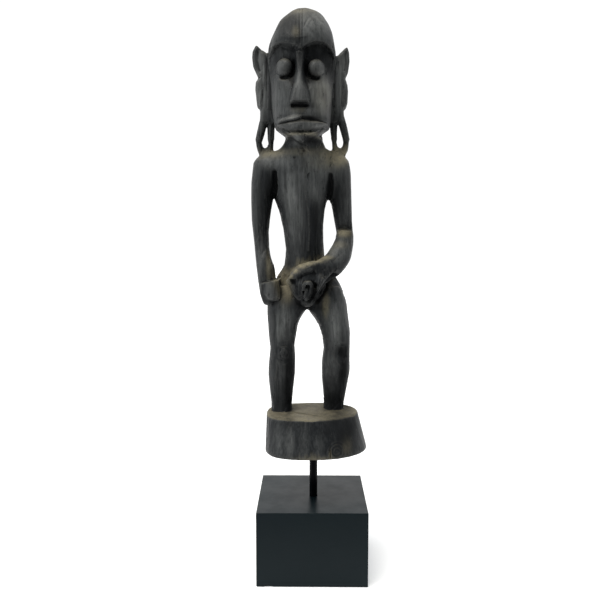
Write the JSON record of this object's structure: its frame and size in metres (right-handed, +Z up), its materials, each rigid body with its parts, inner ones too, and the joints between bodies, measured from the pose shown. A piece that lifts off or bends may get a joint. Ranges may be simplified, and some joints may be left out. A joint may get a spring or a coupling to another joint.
{
  "type": "carved wooden figure on a rod and block plinth",
  "caption": "Tall dark carved wooden standing figure on its own oval drum base, held above a square black block by a thin upright rod.",
  "frame": {"origin": "centre of the plinth's square underside, on the surface it stands on", "axes": "+X to the viewer's right as the figure faces the viewer, +Y away from the viewer towards its back, +Z up"},
  "size_m": [0.1225, 0.114, 0.5852],
  "materials": {
    "carved_wood": "black-brown stained and hand-rubbed, dusty brown in the recesses and on upward faces",
    "rod_metal": "gloss black",
    "plinth_block": "satin black paint"
  },
  "bodies": {
    "root": {"figure": "carved_wood", "rod": "rod_metal", "plinth": "plinth_block"}
  },
  "joints": []
}
